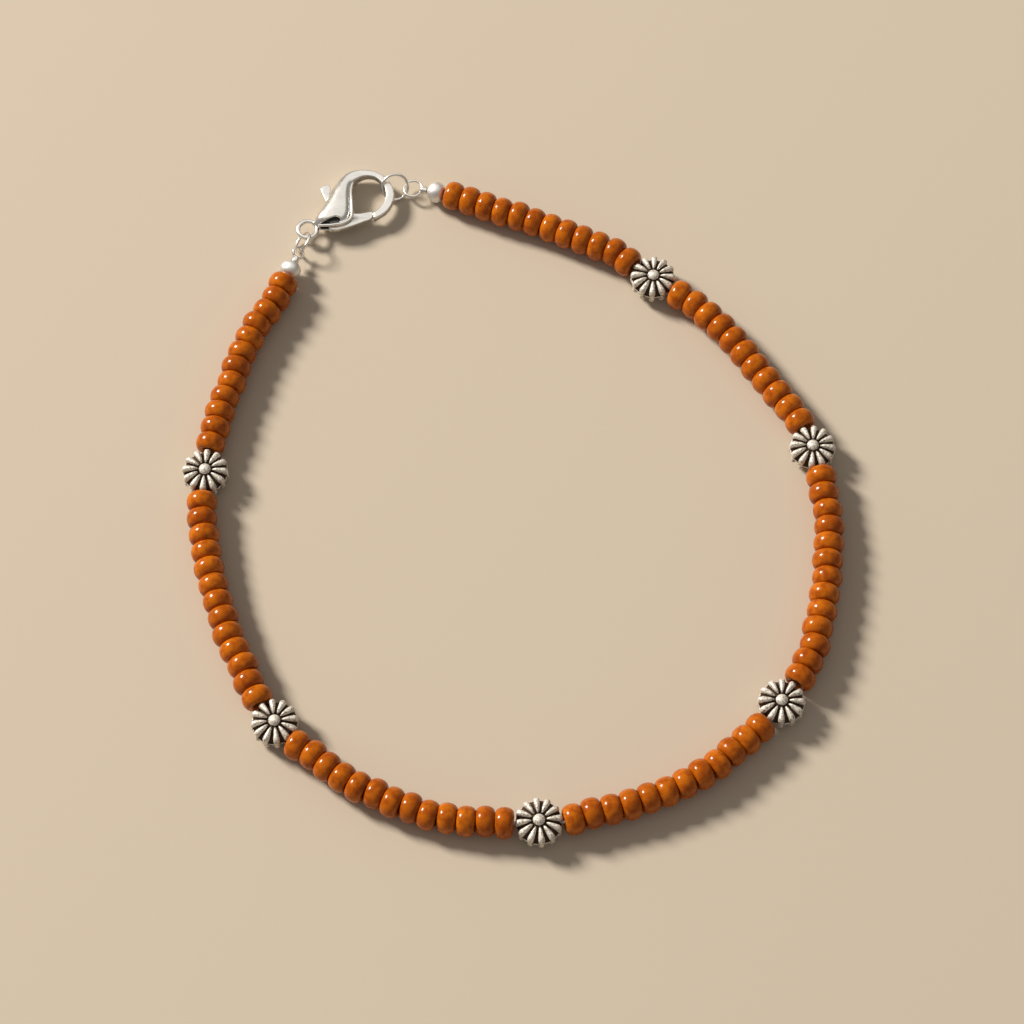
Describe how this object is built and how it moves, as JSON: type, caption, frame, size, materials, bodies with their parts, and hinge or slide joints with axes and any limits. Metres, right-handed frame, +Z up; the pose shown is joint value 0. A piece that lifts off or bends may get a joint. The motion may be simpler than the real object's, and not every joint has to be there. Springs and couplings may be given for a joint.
{
  "type": "beaded anklet",
  "caption": "Closed loop of round glass beads with cast flower spacers on a wire, silver balls and a lobster clasp with a sprung lever.",
  "frame": {"origin": "under the middle of the anklet's box, on the surface that it lies on", "axes": "+Z up from the surface, +Y towards the clasp, across the loop's longer way"},
  "size_m": [0.075, 0.0844, 0.0035],
  "materials": {
    "orange_glass": "opaque glossy glass",
    "polished_silver": "polished silver",
    "antique_silver": "cast silver with darkened grooves",
    "pin_steel": "plain"
  },
  "bodies": {
    "anklet": {"bead_string": "orange_glass", "flower_1": "antique_silver", "flower_2": "antique_silver", "flower_3": "antique_silver", "flower_4": "antique_silver", "flower_5": "antique_silver", "flower_6": "antique_silver", "ball_left": "polished_silver", "ball_right": "polished_silver", "end_loop_left": "polished_silver", "end_loop_right": "polished_silver", "jump_ring_left": "polished_silver", "jump_ring_right": "polished_silver", "clasp_body": "polished_silver", "lever_pin": "pin_steel"},
    "lever": {"clasp_lever": "polished_silver"}
  },
  "joints": [
    {"name": "lever_hinge", "type": "hinge", "parent": "anklet", "child": "lever", "pos_m": [-0.02109, 0.0363, 0.00135], "axis": [0, 0, 1], "range_deg": [0, 25], "stiffness_Nm_per_rad": 0.0004, "springref_deg": -20.05}
  ]
}
